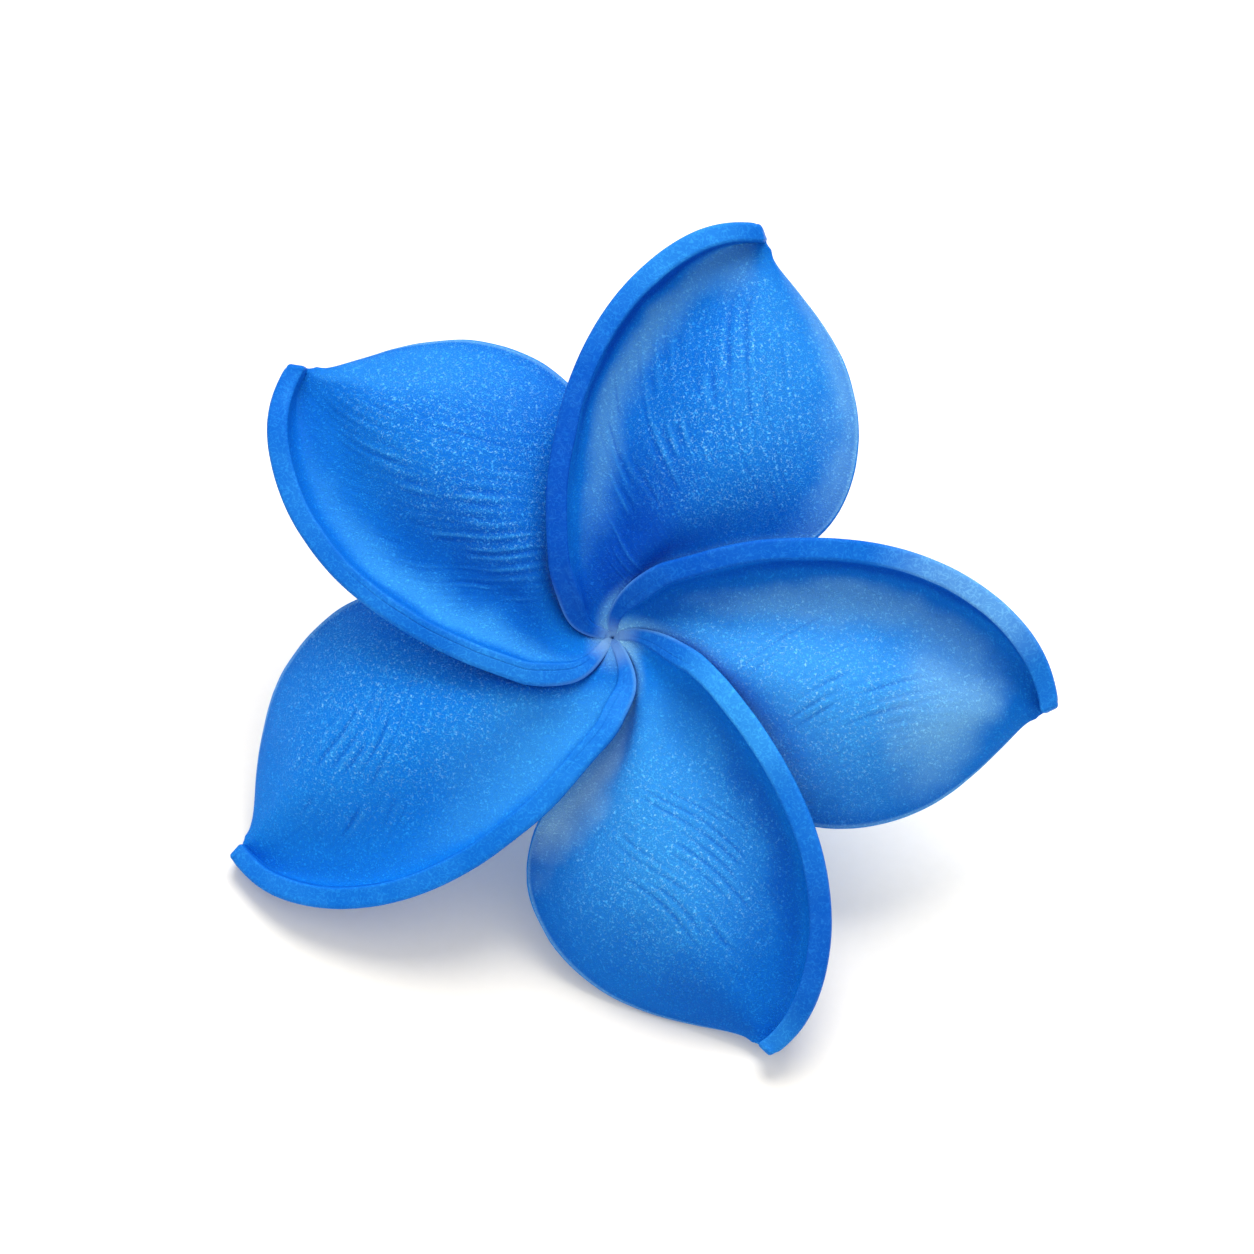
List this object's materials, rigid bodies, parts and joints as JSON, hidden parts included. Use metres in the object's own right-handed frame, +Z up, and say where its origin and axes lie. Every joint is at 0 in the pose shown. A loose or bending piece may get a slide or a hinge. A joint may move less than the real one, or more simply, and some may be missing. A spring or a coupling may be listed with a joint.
{
  "type": "frangipani flower",
  "caption": "Picked frangipani bloom lying face up: overlapping petals in a pinwheel, each with a rolled rim, on a slender tube with a small calyx and a short cut stalk.",
  "frame": {"origin": "middle of the bounding box's base, on the surface the bloom lies on", "axes": "+Z up; the open face of the bloom leans from +Z towards -Y; +X is to the right when the face is looked at; petal_1 points away from the viewer"},
  "size_m": [0.0802, 0.0696, 0.0462],
  "materials": {
    "petal": "satin",
    "tube": "satin",
    "calyx": "matte",
    "stalk": "matte"
  },
  "bodies": {
    "root": {"petal_1": "petal", "petal_2": "petal", "petal_3": "petal", "petal_4": "petal", "petal_5": "petal", "corolla_tube": "tube", "calyx": "calyx", "pedicel": "stalk"}
  },
  "joints": []
}
